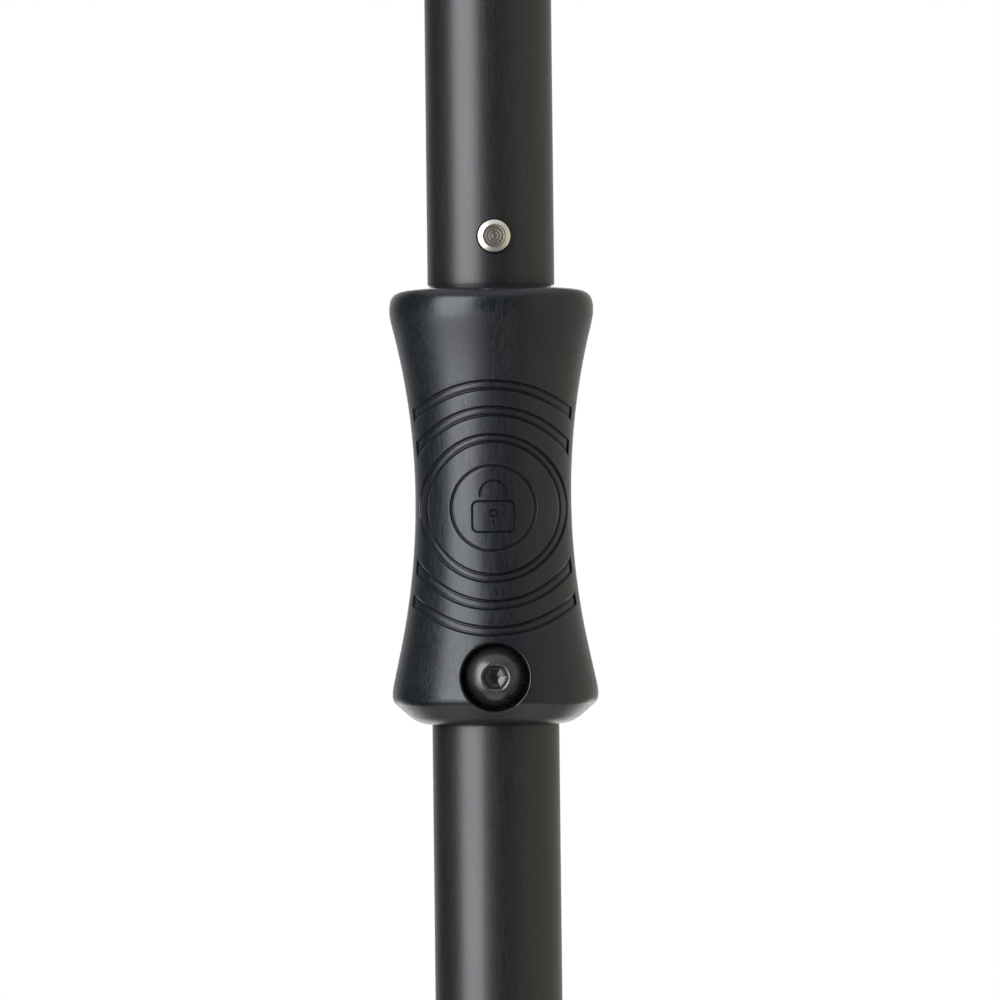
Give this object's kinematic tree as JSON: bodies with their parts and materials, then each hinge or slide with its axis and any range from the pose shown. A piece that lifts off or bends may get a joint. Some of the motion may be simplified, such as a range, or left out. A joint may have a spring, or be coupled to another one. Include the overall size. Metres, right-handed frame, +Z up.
{
  "type": "telescoping pole",
  "caption": "Round telescoping pole section with an hourglass twist-lock collar, a stop screw and a spring snap pin; either tube end fits a 35 mm socket.",
  "frame": {"origin": "centre of the pole's lower end face", "axes": "+Z up the pole; -Y is the side that the stop screw and the snap pin face"},
  "size_m": [0.0566, 0.0565, 0.851],
  "materials": {
    "black_anodised": "satin black anodised",
    "black_moulding": "satin moulded black",
    "blackened_steel": "black oxide, lightly oiled",
    "bright_nickel": "bright nickel plate",
    "spring_steel": "rolled",
    "brass": "turned",
    "cast_zinc": "as cast",
    "black_acetal": "machined black acetal",
    "pale_acetal": "machined natural acetal",
    "buffer_rubber": "matt"
  },
  "bodies": {
    "lower": {"lower_tube": "black_anodised", "foot_plug": "black_moulding", "foot_bumper": "buffer_rubber", "lock_housing": "cast_zinc", "guide_bush": "black_acetal", "wear_washer": "pale_acetal", "housing_rivet_left": "spring_steel", "housing_rivet_right": "spring_steel"},
    "collar": {"collar_grip": "black_moulding", "collar_bearing": "black_acetal", "threaded_insert": "brass", "stop_screw": "blackened_steel"},
    "shoe_left": {"clamp_shoe_left": "black_acetal"},
    "shoe_right": {"clamp_shoe_right": "black_acetal"},
    "slider": {"stop_sleeve": "pale_acetal"},
    "mast": {"mast_tube": "black_anodised", "mast_foot": "black_acetal", "mast_foot_pin": "spring_steel", "lower_spacer": "pale_acetal", "upper_spacer": "pale_acetal", "upper_tube": "black_anodised", "load_plug": "black_acetal", "leaf_spring": "spring_steel", "top_cap": "black_moulding"},
    "pin": {"snap_pin": "bright_nickel"}
  },
  "joints": [
    {"name": "collar_twist", "type": "hinge", "parent": "lower", "child": "collar", "pos_m": [0, 0, 0.4905], "axis": [0, 0, 1], "range_deg": [0, 60]},
    {"name": "shoe_left_release", "type": "slide", "parent": "lower", "child": "shoe_left", "axis": [-1, 0, 0], "range_m": [0, 0.0004]},
    {"name": "shoe_right_release", "type": "slide", "parent": "lower", "child": "shoe_right", "axis": [1, 0, 0], "range_m": [0, 0.0004]},
    {"name": "mast_slide", "type": "slide", "parent": "lower", "child": "slider", "axis": [0, 0, 1], "range_m": [0, 0.35]},
    {"name": "mast_turn", "type": "hinge", "parent": "slider", "child": "mast", "pos_m": [0, 0, 0.5], "axis": [0, 0, 1], "continuous": true},
    {"name": "pin_press", "type": "slide", "parent": "mast", "child": "pin", "axis": [-0.0523, 0.9986, 0], "range_m": [0, 0.0042], "stiffness_N_per_m": 1200, "springref_m": -0.003, "deforming": ["leaf_spring"]}
  ],
  "couplings": [
    {"joint": "shoe_left_release", "follows": "collar_twist", "m_per_rad": 0.00038},
    {"joint": "shoe_right_release", "follows": "collar_twist", "m_per_rad": 0.00038}
  ]
}
